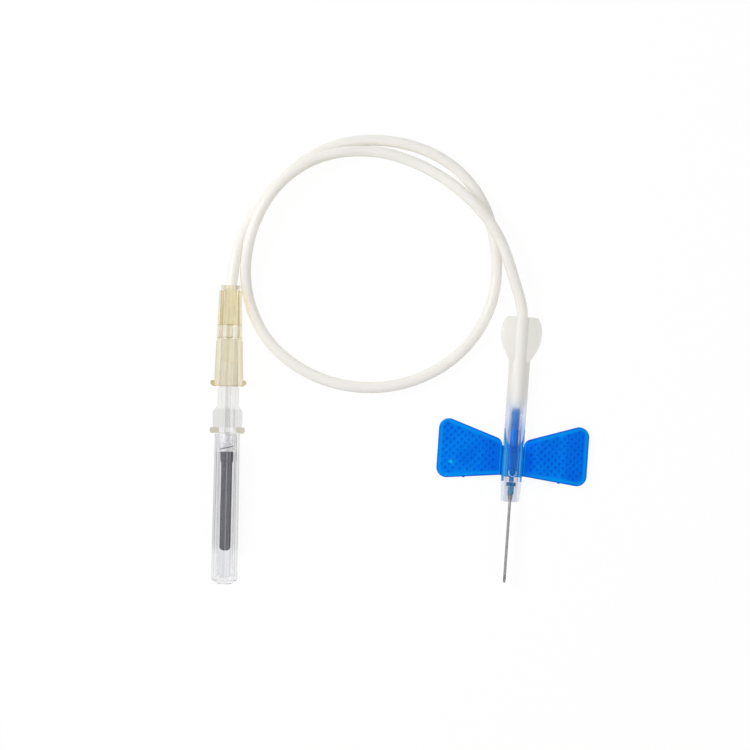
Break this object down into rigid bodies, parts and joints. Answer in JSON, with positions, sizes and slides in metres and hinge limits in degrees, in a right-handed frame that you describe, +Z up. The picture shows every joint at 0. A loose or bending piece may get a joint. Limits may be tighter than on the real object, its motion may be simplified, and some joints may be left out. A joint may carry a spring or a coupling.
{
  "type": "butterfly needle",
  "caption": "Winged needle set: sliding clear shield with folding wings, looped soft tubing, luer connector, and a capped rear needle adapter.",
  "frame": {"origin": "under the middle of the rigid pieces, at the height of the table the set lies on", "axes": "+Z up from the table, +Y from the needle's point towards the tubing's loop, +X from the capped adapter towards the winged needle"},
  "size_m": [0.0872, 0.1033, 0.008],
  "materials": {
    "needle_steel": "bright drawn steel",
    "needle_glue": "clear cured glue",
    "hub_blue": "tinted moulded plastic",
    "shield_clear": "frosted clear plastic",
    "wing_blue": "soft vinyl, satin",
    "collar_blue": "soft vinyl, satin, translucent",
    "tube_cream": "soft translucent tubing",
    "connector_yellow": "tinted translucent plastic",
    "adapter_clear": "clear moulded plastic",
    "sleeve_grey": "matt grey rubber",
    "cap_clear": "clear ribbed plastic"
  },
  "bodies": {
    "hub_and_tubing": {"front_cannula": "needle_steel", "hub_glue": "needle_glue", "needle_hub": "hub_blue", "tubing": "tube_cream", "luer_connector": "connector_yellow"},
    "shield": {"needle_shield": "shield_clear", "wing_collar": "collar_blue"},
    "right_wing": {"right_wing": "wing_blue"},
    "left_wing": {"left_wing": "wing_blue"},
    "adapter": {"luer_adapter": "adapter_clear", "adapter_glue": "needle_glue", "rear_cannula": "needle_steel", "rubber_sleeve": "sleeve_grey"},
    "cap": {"rear_cap": "cap_clear"}
  },
  "joints": [
    {"name": "shield_slide", "type": "slide", "parent": "hub_and_tubing", "child": "shield", "axis": [-0.0698, -0.9976, 0], "range_m": [0, 0.0205]},
    {"name": "right_wing_fold", "type": "hinge", "parent": "shield", "child": "right_wing", "pos_m": [0.02814, -0.01562, 0.00065], "axis": [-0.0698, -0.9976, 0], "range_deg": [0, 88], "stiffness_Nm_per_rad": 0.0002},
    {"name": "left_wing_fold", "type": "hinge", "parent": "shield", "child": "left_wing", "pos_m": [0.02223, -0.01521, 0.00065], "axis": [0.0698, 0.9976, 0], "range_deg": [0, 88], "stiffness_Nm_per_rad": 0.0002},
    {"name": "adapter_pull", "type": "slide", "parent": "hub_and_tubing", "child": "adapter", "axis": [-0.0223, -0.9998, 0], "range_m": [0, 0.008]},
    {"name": "cap_pull", "type": "slide", "parent": "adapter", "child": "cap", "axis": [-0.0223, -0.9998, 0], "range_m": [0, 0.03]}
  ]
}
